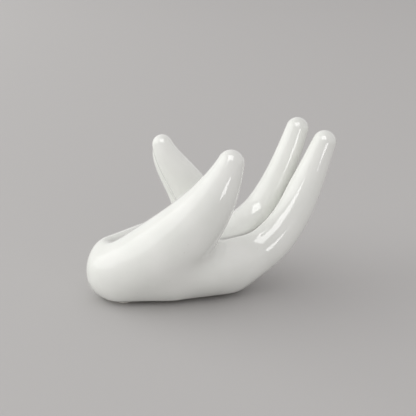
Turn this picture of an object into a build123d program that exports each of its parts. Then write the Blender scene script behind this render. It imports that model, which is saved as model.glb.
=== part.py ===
from build123d import *
import os

# A glazed ceramic hand that lies palm up on the back of the hand.
# It is slip cast in six pieces: a hollow palm, a solid thumb and four solid fingers.
# Each digit is luted to its stump on the palm at a flat face, and felt pads carry the base.
# +X runs from the heel of the hand to the fingers, the thumb is on the -Y side, +Z is up.

# Casting sizes, in millimetres
wall = 4.0
vent_d = 8.0

# Felt pads under the back of the hand: a pair at the heel and a pair at the knuckles
pad_d = 10.0
pad_thickness = 1.5
heel_pad_spacing = 15.0
knuckle_pad_spacing = 46.0

# Palm, as sections across it from the heel to the finger roots.
# A section has a base, a side and a rim towards the thumb, a side and a rim at the
# outer edge of the hand, and the floor of the hollow between the two rims.
palm_sections = [
    dict(x=-7.5, base=5.0, thumb_side=-14.0, thumb_rim=33.0, floor=32.5, edge_rim=33.0, edge_side=12.0),
    dict(x=6.0, base=-2.5, thumb_side=-20.0, thumb_rim=36.8, floor=35.2, edge_rim=36.8, edge_side=24.0),
    dict(x=24.0, base=-2.5, thumb_side=-27.5, thumb_rim=37.8, floor=34.0, edge_rim=37.5, edge_side=36.0),
    dict(x=46.0, base=-2.5, thumb_side=-31.5, thumb_rim=38.3, floor=31.5, edge_rim=39.0, edge_side=49.0),
    dict(x=64.0, base=-2.5, thumb_side=-32.5, thumb_rim=38.5, floor=33.0, edge_rim=38.8, edge_side=58.0),
    dict(x=78.0, base=-2.5, thumb_side=-32.5, thumb_rim=40.0, floor=39.0, edge_rim=39.5, edge_side=55.0),
    dict(x=88.0, base=1.0, thumb_side=-25.5, thumb_rim=38.0, floor=44.5, edge_rim=37.0, edge_side=36.0),
    dict(x=95.0, base=9.0, thumb_side=-13.0, thumb_rim=36.0, floor=43.5, edge_rim=36.0, edge_side=17.0),
    dict(x=98.0, base=19.5, thumb_side=-10.0, thumb_rim=33.0, floor=37.0, edge_rim=33.0, edge_side=8.0),
]
heel_section = palm_sections[1]
knuckle_section = palm_sections[5]

# Half of a section: shares of its half width and of the height of its rim, below and above its
# waist, and then the slope into the hollow, where the height is a share of the depth.
# The outline is upright at the waist, and the pull says for how far.
low_half = [(0.55, 0.0), (0.82, 0.11)]
waist_up = 0.5
waist_pull = 0.5
high_half = [(0.90, 0.86), (0.66, 1.0)]
slope_out = 0.34
slope_up = 0.35

# Flank of the palm under the thumb, from the ball of the thumb to the root of the index finger.
# Like a digit it has a centre and a girth (a diameter) at four stations.
flank_ball = (34.0, -18.0, 20.0)
flank_ball_girth = 32.0
flank_crest = (52.0, -23.0, 23.0)
flank_crest_girth = 36.0
flank_side = (75.0, -21.0, 22.0)
flank_side_girth = 35.0
flank_root = (86.0, -18.0, 23.5)
flank_root_girth = 25.0
flank_stations = [
    (flank_ball, flank_ball_girth),
    (flank_crest, flank_crest_girth),
    (flank_side, flank_side_girth),
    (flank_root, flank_root_girth),
]

# Ridge that rises from the palm into the middle finger
ridge_palm = (64.0, -11.0, 23.5)
ridge_palm_girth = 30.0
ridge_rise = (79.0, -6.0, 28.5)
ridge_rise_girth = 29.0
ridge_shoulder = (93.0, -0.5, 34.5)
ridge_shoulder_girth = 26.0
ridge_root = (103.0, 3.5, 40.0)
ridge_root_girth = 19.0
ridge_stations = [
    (ridge_palm, ridge_palm_girth),
    (ridge_rise, ridge_rise_girth),
    (ridge_shoulder, ridge_shoulder_girth),
    (ridge_root, ridge_root_girth),
]

# Trough along the inner side of the index finger, which the ridge borders
trough_palm = (68.0, -19.5, 45.0)
trough_palm_girth = 15.0
trough_bend = (80.3, -15.0, 43.0)
trough_bend_girth = 15.0
trough_rise = (91.3, -10.5, 45.6)
trough_rise_girth = 19.0
trough_web = (114.7, -9.0, 62.8)
trough_web_girth = 17.0
trough_stations = [
    (trough_palm, trough_palm_girth),
    (trough_bend, trough_bend_girth),
    (trough_rise, trough_rise_girth),
    (trough_web, trough_web_girth),
]

# Digits: each has a centre and a girth (a diameter) at four stations.
# The last station is the centre of the round tip.
# A seat is the length along a digit from its first station to its luted face.

# Thumb, from the heel of the hand over the ball of the thumb
thumb_heel = (0.5, -1.5, 19.4)
thumb_heel_girth = 34.2
thumb_ball = (25.0, -19.5, 30.5)
thumb_ball_girth = 42.4
thumb_knuckle = (47.5, -36.5, 60.5)
thumb_knuckle_girth = 36.0
thumb_tip = (65.9, -44.0, 96.6)
thumb_tip_girth = 16.8
thumb_seat = 68.0

# Index finger
index_root = (74.0, -15.0, 19.5)
index_root_girth = 33.0
index_knuckle = (103.2, -20.5, 31.3)
index_knuckle_girth = 29.8
index_joint = (124.9, -19.5, 55.4)
index_joint_girth = 24.4
index_tip = (145.4, -18.0, 96.4)
index_tip_girth = 16.0
index_seat = 36.0

# Middle finger
middle_root = (80.0, 4.0, 25.0)
middle_root_girth = 26.0
middle_knuckle = (104.6, 5.0, 41.0)
middle_knuckle_girth = 23.8
middle_joint = (116.6, 5.0, 56.8)
middle_joint_girth = 21.6
middle_tip = (136.6, 5.0, 101.5)
middle_tip_girth = 15.6
middle_seat = 28.0

# Ring finger
ring_root = (72.0, 26.5, 21.0)
ring_root_girth = 27.0
ring_knuckle = (77.0, 31.5, 38.0)
ring_knuckle_girth = 28.6
ring_joint = (69.2, 36.0, 58.0)
ring_joint_girth = 25.6
ring_tip = (51.4, 43.0, 89.4)
ring_tip_girth = 14.0
ring_seat = 26.0

# Little finger
little_root = (69.0, 41.0, 22.0)
little_root_girth = 27.0
little_knuckle = (73.6, 47.0, 35.0)
little_knuckle_girth = 24.4
little_joint = (68.6, 51.5, 50.0)
little_joint_girth = 19.8
little_tip = (56.4, 58.0, 79.3)
little_tip_girth = 13.8
little_seat = 24.0

digit_stations = {
    "thumb": [
        (thumb_heel, thumb_heel_girth),
        (thumb_ball, thumb_ball_girth),
        (thumb_knuckle, thumb_knuckle_girth),
        (thumb_tip, thumb_tip_girth),
    ],
    "index_finger": [
        (index_root, index_root_girth),
        (index_knuckle, index_knuckle_girth),
        (index_joint, index_joint_girth),
        (index_tip, index_tip_girth),
    ],
    "middle_finger": [
        (middle_root, middle_root_girth),
        (middle_knuckle, middle_knuckle_girth),
        (middle_joint, middle_joint_girth),
        (middle_tip, middle_tip_girth),
    ],
    "ring_finger": [
        (ring_root, ring_root_girth),
        (ring_knuckle, ring_knuckle_girth),
        (ring_joint, ring_joint_girth),
        (ring_tip, ring_tip_girth),
    ],
    "little_finger": [
        (little_root, little_root_girth),
        (little_knuckle, little_knuckle_girth),
        (little_joint, little_joint_girth),
        (little_tip, little_tip_girth),
    ],
}
digit_seats = {
    "thumb": thumb_seat,
    "index_finger": index_seat,
    "middle_finger": middle_seat,
    "ring_finger": ring_seat,
    "little_finger": little_seat,
}


def section_middle(section):
    """Middle of a palm section, between its two sides."""
    return (section["thumb_side"] + section["edge_side"]) / 2


def palm_profile(section, depth):
    """Smooth outline of one palm section at a depth: the back and the hollow, joined at the waists."""
    x = section["x"]
    base = section["base"] + depth
    floor = section["floor"] - depth
    middle = section_middle(section)
    half = (section["edge_side"] - section["thumb_side"]) / 2 - depth
    low = {}
    high = {}
    for sign, rim in ((1, section["edge_rim"] - depth), (-1, section["thumb_rim"] - depth)):
        waist = (x, middle + sign * half, base + (rim - base) * waist_up)
        low[sign] = [(x, middle + sign * half * out, base + (rim - base) * up) for out, up in low_half]
        low[sign].append(waist)
        high[sign] = [(x, middle + sign * half * out, base + (rim - base) * up) for out, up in high_half]
        high[sign].append((x, middle + sign * half * slope_out, floor + (rim - floor) * slope_up))
        high[sign].insert(0, waist)
    up = Axis.Z.direction
    pull = (waist_pull, waist_pull)
    back = [*reversed(low[-1]), (x, middle, base), *low[1]]
    hollow = [*high[1], (x, middle, floor), *reversed(high[-1])]
    return make_face(
        [
            Spline(*back, tangents=(-up, up), tangent_scalars=pull),
            Spline(*hollow, tangents=(up, -up), tangent_scalars=pull),
        ]
    )


def palm_form(sections, depth=0.0):
    """Loft through palm sections, cut flat at the base, at a depth below the surface."""
    body = loft([palm_profile(section, depth) for section in sections])
    return split(body, bisect_by=Plane.XY.offset(depth), keep=Keep.TOP)


def spine(stations):
    """Centre line of a digit or of another limb, through its stations."""
    return Spline(*[centre for centre, girth in stations])


def limb_form(stations, cover=0.0):
    """Loft through the girths of a digit or of another limb, with round ends, under a cover."""
    line = spine(stations)
    planes = []
    radii = []
    for centre, girth in stations:
        along = line.tangent_at(line.param_at_point(centre))
        side = Axis.Y.direction.cross(along).cross(along)
        planes.append(Plane(origin=centre, x_dir=side, z_dir=along))
        radii.append(girth / 2 + cover)
    shaft = loft([plane * Circle(radius) for plane, radius in zip(planes, radii)])
    root_end = planes[0] * Sphere(radii[0], arc_size1=-90, arc_size2=0, align=None)
    tip_end = planes[-1] * Sphere(radii[-1], arc_size1=0, arc_size2=90, align=None)
    return shaft + root_end + tip_end


def seat_plane(name):
    """Flat luted face of a digit, square to its centre line."""
    line = spine(digit_stations[name])
    seat = digit_seats[name]
    origin = line.position_at(seat, position_mode=PositionMode.LENGTH)
    along = line.tangent_at(seat, position_mode=PositionMode.LENGTH)
    return Plane(origin=origin, z_dir=along)


def pad_pair(section, spacing):
    """Two felt discs under a palm section."""
    lift = -pad_thickness / 2
    sides = [section_middle(section) - spacing / 2, section_middle(section) + spacing / 2]
    return [Pos(section["x"], y, lift) * Cylinder(pad_d / 2, pad_thickness) for y in sides]


# Outer forms: the stump of each digit stays with the palm and the rest is the digit
stumps = {}
digits = {}
for name, stations in digit_stations.items():
    whole = limb_form(stations)
    stumps[name] = split(whole, bisect_by=seat_plane(name), keep=Keep.BOTTOM)
    digits[name] = split(whole, bisect_by=seat_plane(name), keep=Keep.TOP)
# The trough is cut before the ridge and the far fingers are added, so that they border it
palm = palm_form(palm_sections) + limb_form(flank_stations) + stumps["thumb"] + stumps["index_finger"]
trough = limb_form(trough_stations)
palm -= trough
digits["index_finger"] -= trough
palm += split(limb_form(ridge_stations), bisect_by=seat_plane("middle_finger"), keep=Keep.BOTTOM)
for name in ("middle_finger", "ring_finger", "little_finger"):
    palm += stumps[name]

# Neighbours that grow together low down part where they meet
for name in digits:
    digits[name] -= palm
digits["middle_finger"] -= digits["index_finger"]
digits["little_finger"] -= digits["ring_finger"]

# Cavity that is left when the slip is poured out, and the vent hole that it is poured through
vent_x = (heel_section["x"] + knuckle_section["x"]) / 2
vent_y = (section_middle(heel_section) + section_middle(knuckle_section)) / 2
vent = Pos(vent_x, vent_y, wall / 2) * Cylinder(vent_d / 2, 2 * wall)
cavity = palm_form(palm_sections[1:-2], wall) - limb_form(trough_stations, wall)
palm_body = palm - (cavity + vent)

pads = pad_pair(heel_section, heel_pad_spacing) + pad_pair(knuckle_section, knuckle_pad_spacing)
nodes = {"palm_body": palm_body}
nodes.update(digits)
for number, pad in enumerate(pads, start=1):
    nodes[f"foot_pad_{number}"] = pad

# The origin is the bottom centre of the box round the whole hand
box = Compound(children=[Compound(node.solids()) for node in nodes.values()]).bounding_box()
to_frame = Pos(-box.center().X, -box.center().Y, -box.min.Z)
print("moved to the frame by", -box.center().X, -box.center().Y, -box.min.Z)
print("overall size", box.size)

os.makedirs("parts", exist_ok=True)
for name, node in nodes.items():
    export_step(to_frame * node, os.path.join("parts", f"{name}.step"))
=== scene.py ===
import math

import bmesh
import bpy
import numpy as np
from mathutils import Matrix, Vector


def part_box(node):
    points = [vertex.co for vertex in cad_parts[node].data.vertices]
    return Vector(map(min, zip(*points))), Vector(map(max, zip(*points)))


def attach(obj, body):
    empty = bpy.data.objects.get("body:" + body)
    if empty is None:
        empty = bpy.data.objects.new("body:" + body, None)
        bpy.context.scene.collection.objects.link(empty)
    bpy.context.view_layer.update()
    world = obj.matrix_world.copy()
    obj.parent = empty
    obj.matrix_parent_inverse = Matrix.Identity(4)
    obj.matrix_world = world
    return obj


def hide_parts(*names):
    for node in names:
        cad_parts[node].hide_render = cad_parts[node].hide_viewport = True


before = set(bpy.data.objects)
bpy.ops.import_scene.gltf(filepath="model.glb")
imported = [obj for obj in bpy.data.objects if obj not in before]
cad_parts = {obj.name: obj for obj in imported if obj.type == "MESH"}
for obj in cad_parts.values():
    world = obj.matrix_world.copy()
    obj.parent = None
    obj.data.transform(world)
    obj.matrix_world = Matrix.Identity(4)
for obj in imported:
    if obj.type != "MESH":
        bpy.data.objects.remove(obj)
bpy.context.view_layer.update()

# Hand coordinates are millimetres with the heel near x = 0 and the flat base at z = 0.
# This move takes them to the frame, whose origin is the bottom centre of the box.
TO_FRAME = np.array([-68.4, -4.640, 1.5])

# Centre lines of the digits, close to those of the solids: x, y, z and radius at four stations
THUMB = [(1.6, -3.2, 18.6, 16.5), (22.5, -17.5, 31.6, 21.5),
         (47.5, -36.4, 60.5, 17.8), (65.9, -44.0, 96.6, 8.4)]
INDEX = [(74.0, -15.0, 19.5, 16.5), (103.2, -20.5, 31.3, 14.9),
         (124.9, -19.5, 55.4, 12.2), (145.4, -18.0, 96.4, 8.0)]
MIDDLE = [(80.0, 4.0, 25.0, 13.0), (104.6, 5.0, 41.0, 11.9),
          (116.6, 5.0, 56.8, 10.8), (136.6, 5.0, 101.5, 7.8)]
RING = [(72.0, 26.5, 21.0, 13.5), (77.0, 31.5, 38.0, 14.3),
        (69.2, 36.0, 58.0, 12.8), (51.4, 43.0, 89.4, 7.0)]
LITTLE = [(69.0, 41.0, 22.0, 13.5), (73.6, 47.0, 35.0, 12.2),
          (68.6, 51.5, 50.0, 9.9), (56.4, 58.0, 79.3, 6.9)]

# Palm: a slab over this plan, grown by a margin and rounded, with the hollow pressed into it,
# and the outer edge of the hand from the heel to the little finger
PLAN = np.array([(2.4, 5.2), (6.0, -2.8), (38.0, -14.0), (74.0, -15.0),
                 (82.0, 4.0), (74.5, 34.0), (66.0, 39.5)])
PLAN_MARGIN = 17.5
SLAB_LOW, SLAB_HIGH = -4.5, 38.0
SLAB_ROUND = 20.5
DISH = [(6.5, 2.5, 45.2, 12.0), (27.0, 5.0, 52.5, 19.5),
        (55.0, 5.5, 57.0, 26.0), (84.0, 2.0, 66.0, 27.0)]
EDGE = [(4.0, 8.3, 23.8, 15.3), (25.0, 20.2, 23.6, 15.6),
        (46.0, 32.5, 23.0, 15.6), (66.0, 42.0, 22.0, 14.0)]

# Side of the hand under the thumb, the ridge that runs from the palm into the middle finger,
# and the trough between that ridge and the index finger
FLANK = [(34.0, -18.0, 20.0, 16.0), (52.0, -23.0, 23.0, 18.0),
         (75.0, -21.0, 22.0, 17.5), (86.0, -18.0, 23.5, 12.5)]
RIDGE = [(64.0, -11.0, 23.5, 15.0), (79.0, -6.0, 28.5, 14.5),
         (93.0, -0.5, 34.5, 13.0), (103.0, 3.5, 40.0, 9.5)]
TROUGH = [(68.0, -19.5, 45.0, 7.5), (80.3, -15.0, 43.0, 7.5),
          (91.8, -11.0, 45.1, 9.6), (116.5, -8.0, 66.0, 5.0)]

# How far neighbouring forms flow into each other
FLOW_DISH = 4.0
FLOW_EDGE = 4.0
FLOW_THUMB = 7.0
FLOW_FLANK = 11.0
FLOW_FINGERS = 9.0
FLOW_TROUGH = 4.0
FLOW_GROOVE = 1.4
FLOW_RIDGE = 7.0
FLOW_BASE = 3.0

# Vent hole in the base: place, radius, depth and the width of its rounded edge
VENT = (42.0, 6.6)
VENT_R = 4.0
VENT_DEPTH = 12.0
VENT_EDGE = 0.8

# The groove beside the middle finger opens into a wide curve from this y, over this width
WIDE_FROM = -4.0
WIDE_OVER = 12.0

# Nearest point on a centre line: samples to start from, rounds of refining and their longest step
LINE_SAMPLES = 13
LINE_ROUNDS = 4
LINE_STEP = 0.05

# Mesh of the glazed hand: cell sizes, halvings from the first coarse cells, how many cells count as
# near the surface, the space that is searched, and rounds of evening out
CELL = 1.1
HALVINGS = 3
NEAR_CELLS = 3.5
SPACE_LOW = np.array([-24.0, -66.0, -6.0])
SPACE_HIGH = np.array([162.0, 74.0, 118.0])
EVENING_ROUNDS = 3

# Settling on the surface: the least slope that is believed, squared, and the longest move
LEAST_SLOPE = 0.2
LONGEST_MOVE = 0.6

# Painted shade in hollows: reach of the probe for hollows, and how much a hollow's curve counts
SHADE_PROBE_REACH = 2.2
SHADE_GAIN = 4.5


def cubic(stations):
    """Coefficients of the cubic through four stations, by the length along their chords."""
    p = np.array(stations)
    t = np.concatenate([[0.0], np.cumsum(np.linalg.norm(np.diff(p[:, :3], axis=0), axis=1))])
    return np.linalg.solve(np.vander(t / t[-1], 4, increasing=True), p)


def to_frame(P):
    """Hand coordinates in millimetres as frame coordinates in metres."""
    return (P + TO_FRAME) / 1000


def powers(t):
    return np.stack([np.ones_like(t), t, t * t, t ** 3], 1)


def limb(P, c):
    """Distance from points to a round limb of changing radius, with round ends."""
    ts = np.linspace(0.0, 1.0, LINE_SAMPLES)
    line = np.vander(ts, 4, increasing=True) @ c
    best = np.full(len(P), 1e9)
    t = np.zeros(len(P))
    for at, s in zip(ts, line):
        d = np.linalg.norm(P - s[:3], axis=1) - s[3]
        near = d < best
        best[near] = d[near]
        t[near] = at
    for _ in range(LINE_ROUNDS):
        first = np.stack([np.zeros_like(t), np.ones_like(t), 2 * t, 3 * t * t], 1)
        second = np.stack([np.zeros_like(t), np.zeros_like(t), np.full_like(t, 2.0), 6 * t], 1)
        v, dv, ddv = powers(t) @ c, first @ c, second @ c
        q = P - v[:, :3]
        length = np.maximum(np.linalg.norm(q, axis=1), 1e-6)
        along = np.einsum("ij,ij->i", q, dv[:, :3])
        slope = -along / length - dv[:, 3]
        bend = np.einsum("ij,ij->i", dv[:, :3], dv[:, :3]) - np.einsum("ij,ij->i", q, ddv[:, :3])
        bend /= length
        bend -= along ** 2 / length ** 3 + ddv[:, 3]
        step = np.clip(slope / np.maximum(bend, 1.0), -LINE_STEP, LINE_STEP)
        t = np.clip(t - step, 0.0, 1.0)
    v = powers(t) @ c
    return np.linalg.norm(P - v[:, :3], axis=1) - v[:, 3]


def union(a, b, k):
    """Union that flows together over a width of k."""
    h = np.clip(0.5 + 0.5 * (b - a) / k, 0.0, 1.0)
    return b + (a - b) * h - k * h * (1.0 - h)


def cut(a, b, k):
    """What a has in common with b, with an edge rounded over a width of k."""
    return -union(-a, -b, k)


def plan_distance(Q, corners):
    """Distance to a polygon in the plane, below zero inside."""
    d = np.full(len(Q), 1e18)
    sign = np.ones(len(Q))
    for i in range(len(corners)):
        a, b = corners[i], corners[i - 1]
        e, w = b - a, Q - a
        h = np.clip((w @ e) / (e @ e), 0.0, 1.0)
        d = np.minimum(d, ((w - h[:, None] * e) ** 2).sum(1))
        above = Q[:, 1] >= a[1]
        below = Q[:, 1] < b[1]
        left = e[0] * w[:, 1] > e[1] * w[:, 0]
        flip = (above & below & left) | (~above & ~below & ~left)
        sign[flip] *= -1.0
    return sign * np.sqrt(d)


CURVES = {name: cubic(stations) for name, stations in dict(
    thumb=THUMB, index=INDEX, middle=MIDDLE, ring=RING, little=LITTLE,
    dish=DISH, edge=EDGE, flank=FLANK, ridge=RIDGE, trough=TROUGH).items()}


def hand(P):
    """Distance from points to the whole glazed hand, in millimetres."""
    form = {name: limb(P, c) for name, c in CURVES.items()}
    side = plan_distance(P[:, :2], PLAN) - PLAN_MARGIN + SLAB_ROUND
    height = np.maximum(SLAB_LOW - P[:, 2], P[:, 2] - SLAB_HIGH) + SLAB_ROUND
    slab = np.minimum(np.maximum(side, height), 0.0) - SLAB_ROUND
    slab += np.hypot(np.maximum(side, 0.0), np.maximum(height, 0.0))
    slab = union(slab, form["edge"], FLOW_EDGE)
    palm = cut(slab, -form["dish"], FLOW_DISH)
    near_side = union(form["thumb"], form["flank"], FLOW_FLANK)
    body = union(palm, near_side, FLOW_THUMB)
    body = union(body, form["index"], FLOW_FINGERS)
    body = cut(body, -form["trough"], FLOW_TROUGH)
    middle = union(form["middle"], form["ridge"], FLOW_RIDGE)
    # The middle finger meets the index finger in a sharp groove and the palm in a wide curve
    far = np.clip((P[:, 1] - WIDE_FROM) / WIDE_OVER, 0.0, 1.0)
    flow = FLOW_GROOVE + (FLOW_FINGERS - FLOW_GROOVE) * far * far * (3.0 - 2.0 * far)
    body = union(body, middle, flow)
    pair = union(form["ring"], form["little"], FLOW_GROOVE)
    body = union(body, pair, FLOW_FINGERS)
    body = cut(body, -P[:, 2], FLOW_BASE)
    vent = np.hypot(P[:, 0] - VENT[0], P[:, 1] - VENT[1]) - VENT_R
    vent = np.maximum(vent, P[:, 2] - VENT_DEPTH)
    return cut(body, -vent, VENT_EDGE)


def sample_grid(low, high, step):
    """Distances on a grid, worked out only in cells near the surface, from coarse to fine."""
    coarse = step * 2 ** HALVINGS
    counts = np.ceil((high - low) / coarse).astype(int) + 1
    axes = [low[i] + coarse * np.arange(counts[i]) for i in range(3)]
    G = np.stack(np.meshgrid(*axes, indexing="ij"), -1)
    values = hand(G.reshape(-1, 3)).reshape(counts)
    size = coarse
    for _ in range(HALVINGS):
        size /= 2
        finer = tuple(2 * n - 1 for n in values.shape)
        grown = np.empty(finer)
        # Values between known ones start as means, so that their sign is right far from the surface
        grown[::2, ::2, ::2] = values
        grown[1::2, ::2, ::2] = (values[:-1] + values[1:]) / 2
        grown[:, 1::2, ::2] = (grown[:, :-2:2, ::2] + grown[:, 2::2, ::2]) / 2
        grown[:, :, 1::2] = (grown[:, :, :-2:2] + grown[:, :, 2::2]) / 2
        near = np.argwhere(np.abs(grown) < size * NEAR_CELLS)
        grown[tuple(near.T)] = hand(low + size * near)
        values = grown
    return values, size


def surface(values, low, step):
    """Vertices and quads of the zero surface of a grid: one vertex in each cell that it crosses."""
    inside = values < 0
    cells = np.array(inside.shape) - 1

    def corner(a, i, j, k):
        return a[i:i + cells[0], j:j + cells[1], k:k + cells[2]]

    corners = [(i, j, k) for i in (0, 1) for j in (0, 1) for k in (0, 1)]
    count = sum(corner(inside, *c).astype(int) for c in corners)
    crossed = (count > 0) & (count < 8)
    where = np.argwhere(crossed)
    index = np.full(cells, -1)
    index[crossed] = np.arange(len(where))
    total = np.zeros((len(where), 3))
    hits = np.zeros(len(where))
    for a in corners:
        for axis in range(3):
            if a[axis]:
                continue
            b = tuple(v + (n == axis) for n, v in enumerate(a))
            va, vb = corner(values, *a)[crossed], corner(values, *b)[crossed]
            hit = (va < 0) != (vb < 0)
            share = np.zeros(len(where))
            share[hit] = va[hit] / (va[hit] - vb[hit])
            point = np.array(a, float)[None] + share[:, None] * np.eye(3)[axis]
            total[hit] += point[hit]
            hits += hit
    vertices = low + step * (where + total / hits[:, None])
    quads = []
    for axis in range(3):
        u, v = (axis + 1) % 3, (axis + 2) % 3
        start = [slice(1, -1)] * 3
        start[axis] = slice(0, -1)
        end = list(start)
        end[axis] = slice(1, None)
        first, second = inside[tuple(start)], inside[tuple(end)]
        for out, flip in ((first & ~second, False), (~first & second, True)):
            at = np.argwhere(out)
            at[:, u] += 1
            at[:, v] += 1
            ring = []
            for du, dv in ((-1, -1), (0, -1), (0, 0), (-1, 0)):
                cell = at.copy()
                cell[:, u] += du
                cell[:, v] += dv
                ring.append(index[tuple(cell.T)])
            ring = np.stack(ring, 1)
            quads.append(ring[:, ::-1] if flip else ring)
    return vertices, np.concatenate(quads)


def slope_at(P, reach=0.15):
    """Distance and its gradient at points."""
    rises = [hand(P + reach * axis) - hand(P - reach * axis) for axis in np.eye(3)]
    return hand(P), np.stack(rises, 1) / (2 * reach)


def settle(P):
    """Points moved along the gradient to the zero surface."""
    d, g = slope_at(P)
    step = d / np.maximum((g * g).sum(1), LEAST_SLOPE)
    return P - np.clip(step, -LONGEST_MOVE, LONGEST_MOVE)[:, None] * g


def add_object(name, data):
    """A new object in the scene."""
    thing = bpy.data.objects.new(name, data)
    bpy.context.scene.collection.objects.link(thing)
    return thing


def make_hand():
    """The glazed hand as one mesh, because the glaze hides every luted joint."""
    step = CELL
    values, size = sample_grid(SPACE_LOW, SPACE_HIGH, step)
    P, quads = surface(values, SPACE_LOW, size)
    edges = np.concatenate([quads[:, [i, (i + 1) % 4]] for i in range(4)])
    degree = np.bincount(edges.ravel(), minlength=len(P))
    P = settle(P)
    for _ in range(EVENING_ROUNDS):
        mean = np.zeros_like(P)
        np.add.at(mean, edges[:, 0], P[edges[:, 1]])
        np.add.at(mean, edges[:, 1], P[edges[:, 0]])
        P = settle(0.5 * P + 0.5 * mean / degree[:, None])
    # Where the surface is hollow, its colour is darkened as painted shade
    reaches = SHADE_PROBE_REACH * np.eye(3)
    around = sum(hand(P + reach) + hand(P - reach) for reach in reaches)
    painted_shade = np.clip(-around / SHADE_PROBE_REACH ** 2 * SHADE_GAIN, 0.0, 1.0)
    mesh = bpy.data.meshes.new("glazed_hand")
    mesh.from_pydata(to_frame(P).tolist(), [], quads.tolist())
    mesh.attributes.new("painted_shade", "FLOAT", "POINT").data.foreach_set("value", painted_shade.astype(np.float32))
    mesh.shade_smooth()
    mesh.normals_split_custom_set_from_vertices(slope_at(P)[1].tolist())
    return add_object("glazed_hand", mesh)


def node(tree, kind, place, **values):
    """A shader node with some of its sockets and settings set."""
    n = tree.nodes.new(kind)
    n.location = place
    for name, value in values.items():
        socket = name.replace("_", " ")
        if hasattr(n, name) and socket not in n.inputs:
            setattr(n, name, value)
        else:
            n.inputs[socket].default_value = value
    return n


def grain_group():
    """Shared effect: a wide and a fine noise over an object's own coordinates, as one height."""
    group = bpy.data.node_groups.new("grain", "ShaderNodeTree")
    for name, value in (("Wide Scale", 60.0), ("Fine Scale", 700.0), ("Fine Share", 0.2)):
        socket = group.interface.new_socket(name=name, in_out="INPUT", socket_type="NodeSocketFloat")
        socket.default_value = value
    group.interface.new_socket(name="Height", in_out="OUTPUT", socket_type="NodeSocketFloat")
    group.interface.new_socket(name="Wide", in_out="OUTPUT", socket_type="NodeSocketFloat")
    source = node(group, "NodeGroupInput", (-800, 0))
    result = node(group, "NodeGroupOutput", (400, 0))
    where = node(group, "ShaderNodeTexCoord", (-800, 250))
    wide = node(group, "ShaderNodeTexNoise", (-500, 200), Detail=2.0, Roughness=0.5)
    fine = node(group, "ShaderNodeTexNoise", (-500, -100), Detail=3.0, Roughness=0.6)
    for n in (wide, fine):
        group.links.new(where.outputs["Object"], n.inputs["Vector"])
    group.links.new(source.outputs["Wide Scale"], wide.inputs["Scale"])
    group.links.new(source.outputs["Fine Scale"], fine.inputs["Scale"])
    share = node(group, "ShaderNodeMath", (-200, -100), operation="MULTIPLY")
    total = node(group, "ShaderNodeMath", (100, 0), operation="ADD")
    group.links.new(fine.outputs["Fac"], share.inputs[0])
    group.links.new(source.outputs["Fine Share"], share.inputs[1])
    group.links.new(wide.outputs["Fac"], total.inputs[0])
    group.links.new(share.outputs[0], total.inputs[1])
    group.links.new(total.outputs[0], result.inputs["Height"])
    group.links.new(wide.outputs["Fac"], result.inputs["Wide"])
    return group


def new_material(name):
    """A material, its node tree and its shader."""
    material = bpy.data.materials.new(name)
    material.use_nodes = True
    tree = material.node_tree
    return material, tree, tree.nodes["Principled BSDF"]


def mix_colour(tree, place, factor, a, b):
    """Two colours mixed by a socket or a number; each colour is a socket or a value."""
    n = node(tree, "ShaderNodeMix", place, data_type="RGBA")
    for socket, value in ((n.inputs[0], factor), (n.inputs[6], a), (n.inputs[7], b)):
        if isinstance(value, bpy.types.NodeSocket):
            tree.links.new(value, socket)
        else:
            socket.default_value = value
    return n.outputs[2]


def ramp(tree, place, value, low, high, to_low=0.0, to_high=1.0):
    """A value taken from one range to another."""
    n = node(tree, "ShaderNodeMapRange", place)
    n.inputs["From Min"].default_value = low
    n.inputs["From Max"].default_value = high
    n.inputs["To Min"].default_value = to_low
    n.inputs["To Max"].default_value = to_high
    tree.links.new(value, n.inputs["Value"])
    return n.outputs["Result"]


GRAIN = grain_group()


def place_grain(tree, place, wide_scale, fine_scale, fine_share):
    """The shared grain in one material, with scales of its own."""
    n = node(tree, "ShaderNodeGroup", place, node_tree=GRAIN)
    n.inputs["Wide Scale"].default_value = wide_scale
    n.inputs["Fine Scale"].default_value = fine_scale
    n.inputs["Fine Share"].default_value = fine_share
    return n


def raise_grain(tree, shader, place, grain, strength, depth):
    """Small bumps from the grain, up to a depth in metres."""
    bump = node(tree, "ShaderNodeBump", place, Strength=strength, Distance=depth)
    tree.links.new(grain.outputs["Height"], bump.inputs["Height"])
    tree.links.new(bump.outputs["Normal"], shader.inputs["Normal"])


# Colours of the finishes
GLAZE_CREAM = (0.80, 0.81, 0.775, 1.0)
GLAZE_WHITE = (0.835, 0.84, 0.81, 1.0)
# Grey that hollows are darkened towards, as painted shade
PAINTED_SHADE_GREY = (0.58, 0.58, 0.56, 1.0)
SPECK = (0.46, 0.42, 0.36, 1.0)
BARE_CLAY = (0.70, 0.66, 0.58, 1.0)
FELT_DARK = (0.50, 0.48, 0.44, 1.0)
FELT_PALE = (0.66, 0.64, 0.60, 1.0)
FLOOR_GREY = (0.48, 0.47, 0.465, 1.0)

# The glaze stops between these two heights above the surface that the pads stand on, in metres
GLAZE_FOOT = (0.0017, 0.0022)

# Roughness of the glaze, least and most, and of the bare clay
GLAZE_ROUGH = (0.025, 0.05)
CLAY_ROUGH = 0.85

# Specks in the glaze: how densely they lie, over which distance each fades, and how much it shows
SPECK_SCALE = 150.0
SPECK_FADE = (0.035, 0.055)
SPECK_SHOW = 0.30

# Felt pads: share of the height that is rounded, how much smaller than their solids they are,
# and the waves of their outline: size, number round the disc and shift from pad to pad
PAD_ROUND = 0.22
PAD_SHRINK = 0.010
PAD_WAVES = ((0.006, 7, 1), (0.004, 17, 2))


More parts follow.
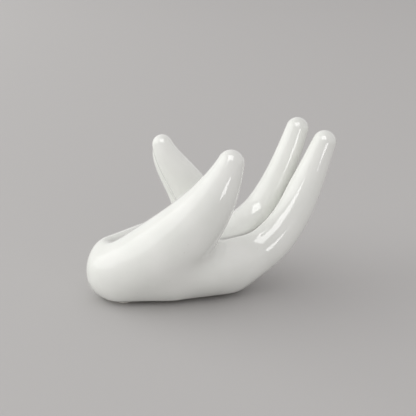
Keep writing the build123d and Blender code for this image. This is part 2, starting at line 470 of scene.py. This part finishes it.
def glaze_material():
    """White glaze over pale clay, darkened in hollows as painted shade: it carries a few specks and
    stops at the foot.
    """
    material, tree, shader = new_material("glaze")
    shader.inputs["IOR"].default_value = 1.52
    shader.inputs["Coat Weight"].default_value = 0.35
    shader.inputs["Coat Roughness"].default_value = 0.02
    grain = place_grain(tree, (-1100, -300), 42.0, 620.0, 0.05)
    painted_shade = node(tree, "ShaderNodeAttribute", (-1100, 300), attribute_name="painted_shade")
    where = node(tree, "ShaderNodeTexCoord", (-1500, 0))
    cloud = ramp(tree, (-950, 100), grain.outputs["Wide"], 0.35, 0.65)
    tint = mix_colour(tree, (-800, 200), cloud, GLAZE_CREAM, GLAZE_WHITE)
    # Painted shade: the glaze colour is darkened towards grey in hollows
    tint = mix_colour(tree, (-600, 200), painted_shade.outputs["Fac"], tint, PAINTED_SHADE_GREY)
    specks = node(tree, "ShaderNodeTexVoronoi", (-1100, 700), Scale=SPECK_SCALE)
    tree.links.new(where.outputs["Object"], specks.inputs["Vector"])
    dots = ramp(tree, (-850, 700), specks.outputs["Distance"], *SPECK_FADE, SPECK_SHOW, 0.0)
    tint = mix_colour(tree, (-400, 250), dots, tint, SPECK)
    split = node(tree, "ShaderNodeSeparateXYZ", (-1300, -600))
    tree.links.new(where.outputs["Object"], split.inputs[0])
    bare = ramp(tree, (-900, -600), split.outputs["Z"], *GLAZE_FOOT, 1.0, 0.0)
    tint = mix_colour(tree, (-200, 200), bare, tint, BARE_CLAY)
    tree.links.new(tint, shader.inputs["Base Color"])
    gloss = ramp(tree, (-600, -200), grain.outputs["Wide"], 0.3, 0.7, *GLAZE_ROUGH)
    rough = node(tree, "ShaderNodeMath", (-300, -300), operation="MAXIMUM")
    chalk = node(tree, "ShaderNodeMath", (-550, -500), operation="MULTIPLY")
    chalk.inputs[1].default_value = CLAY_ROUGH
    tree.links.new(bare, chalk.inputs[0])
    tree.links.new(gloss, rough.inputs[0])
    tree.links.new(chalk.outputs[0], rough.inputs[1])
    tree.links.new(rough.outputs[0], shader.inputs["Roughness"])
    raise_grain(tree, shader, (-300, -700), grain, 0.08, 0.0004)
    return material


def felt_material():
    """Pressed grey felt with loose fibres."""
    material, tree, shader = new_material("felt")
    shader.inputs["Roughness"].default_value = 0.95
    shader.inputs["Sheen Weight"].default_value = 0.3
    grain = place_grain(tree, (-900, 0), 900.0, 4200.0, 0.7)
    fibre = ramp(tree, (-700, 100), grain.outputs["Height"], 0.5, 1.2)
    tint = mix_colour(tree, (-500, 100), fibre, FELT_DARK, FELT_PALE)
    tree.links.new(tint, shader.inputs["Base Color"])
    raise_grain(tree, shader, (-400, -300), grain, 0.6, 0.0003)
    return material


def floor_material():
    """Plain pale matt floor."""
    material, _, shader = new_material("floor")
    shader.inputs["Roughness"].default_value = 0.9
    shader.inputs["Base Color"].default_value = FLOOR_GREY
    return material


def make_pad(number, material):
    """A felt disc with a rounded edge and a slightly uneven outline, in the place of its solid."""
    name = f"foot_pad_{number}"
    low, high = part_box(name)
    centre, radius, height = (low + high) / 2, (high.x - low.x) / 2, high.z - low.z
    bm = bmesh.new()
    bmesh.ops.create_cone(bm, cap_ends=True, segments=64, radius1=radius, radius2=radius, depth=height)
    rim = [e for e in bm.edges if len(e.link_faces) == 2 and abs(e.calc_face_angle()) > 1.0]
    bmesh.ops.bevel(bm, geom=rim, offset=PAD_ROUND * height, segments=3, profile=0.5, affect="EDGES")
    for v in bm.verts:
        angle = math.atan2(v.co.y, v.co.x)
        out = math.hypot(v.co.x, v.co.y) / radius
        wave = sum(size * math.sin(n * angle + shift * number) for size, n, shift in PAD_WAVES)
        v.co.xy *= 1.0 - out * (PAD_SHRINK + wave)
        v.co += centre
    mesh = bpy.data.meshes.new(f"felt_pad_{number}")
    bm.to_mesh(mesh)
    bm.free()
    mesh.shade_smooth()
    mesh.materials.append(material)
    piece = add_object(f"felt_pad_{number}", mesh)
    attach(piece, "root")
    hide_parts(name)


hand_piece = make_hand()
hand_piece.data.materials.append(glaze_material())
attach(hand_piece, "root")
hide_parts("palm_body", "thumb", "index_finger", "middle_finger", "ring_finger", "little_finger")

felt = felt_material()
for number in range(1, 5):
    make_pad(number, felt)

# Floor, six metres to each side
FLOOR_HALF = 6
floor_corners = [(x * FLOOR_HALF, y * FLOOR_HALF, 0) for x, y in ((-1, -1), (1, -1), (1, 1), (-1, 1))]
floor_mesh = bpy.data.meshes.new("floor")
floor_mesh.from_pydata(floor_corners, [], [(0, 1, 2, 3)])
floor_mesh.materials.append(floor_material())
floor = add_object("floor", floor_mesh)

# Camera at the photograph's angle: 22 degrees round to the left and 18 degrees up
AZIMUTH, ELEVATION = math.radians(22.0), math.radians(18.0)
RIGHT = Vector((math.cos(AZIMUTH), -math.sin(AZIMUTH), 0.0))
AHEAD = Vector((math.sin(AZIMUTH), math.cos(AZIMUTH), 0.0))
FORWARD = AHEAD * math.cos(ELEVATION) - Vector((0.0, 0.0, math.sin(ELEVATION)))
UP = AHEAD * math.sin(ELEVATION) + Vector((0.0, 0.0, math.cos(ELEVATION)))

# Frame and focal length in pixels, and the heel's depth and place in that frame
IMAGE = 416
FOCAL = 985.0
DISTANCE = 0.650
HEEL = Vector(to_frame(np.array([0.0, 0.0, 19.0])))
HEEL_PIXEL = (112.0, 270.0)
across, down = (v - IMAGE / 2 for v in HEEL_PIXEL)
ray = FORWARD + RIGHT * across / FOCAL - UP * down / FOCAL
camera_data = bpy.data.cameras.new("camera")
camera_data.sensor_width = 36.0
camera_data.lens = FOCAL / IMAGE * camera_data.sensor_width
camera = add_object("camera", camera_data)
turn = Matrix((RIGHT, UP, -FORWARD)).transposed().to_4x4()
camera.matrix_world = Matrix.Translation(HEEL - ray * DISTANCE) @ turn
bpy.context.scene.camera = camera

# The lamps look at this point
MIDDLE_POINT = Vector((0.0, 0.0, 0.05))
KEY_COLOUR = (0.98, 1.0, 0.97)
ROOM_COLOUR = (1.0, 0.982, 0.982, 1.0)
ROOM_STRENGTH = 0.72


def softbox(name, bearing, height, distance, width, tall, power, diffuse=True, gloss=True):
    """A rectangular lamp: bearing to the right of the camera and height, both in degrees."""
    lamp = bpy.data.lights.new(name, "AREA")
    lamp.shape = "RECTANGLE"
    lamp.size = width
    lamp.size_y = tall
    lamp.energy = power
    thing = add_object(name, lamp)
    thing.visible_diffuse = diffuse
    thing.visible_glossy = gloss
    turn, rise = math.radians(bearing), math.radians(height)
    outward = (RIGHT * math.sin(turn) - AHEAD * math.cos(turn)) * math.cos(rise)
    outward.z = math.sin(rise)
    thing.location = MIDDLE_POINT + outward * distance
    thing.rotation_euler = (-outward).to_track_quat("-Z", "Y").to_euler()
    return thing


# Two wide lamps light the hand, and three more only show as reflections in the glaze
key = softbox("key", -102.0, 20.0, 2.40, 4.00, 1.60, 46.0, gloss=False)
key.data.color = KEY_COLOUR
softbox("fill", 15.0, 12.0, 2.40, 2.00, 0.90, 7.5, gloss=False)
softbox("key_sheen", -84.0, 30.0, 1.10, 1.20, 0.90, 3.2, diffuse=False)
softbox("window", 29.0, -3.0, 0.90, 0.22, 0.42, 1.3, diffuse=False)
softbox("overhead", -5.0, 60.0, 0.90, 0.66, 0.66, 5.5, diffuse=False)

# An even room round the hand
world = bpy.data.worlds.new("world")
world.use_nodes = True
room = world.node_tree.nodes["Background"]
room.inputs["Color"].default_value = ROOM_COLOUR
room.inputs["Strength"].default_value = ROOM_STRENGTH
bpy.context.scene.world = world
bpy.context.scene.view_settings.view_transform = "Standard"
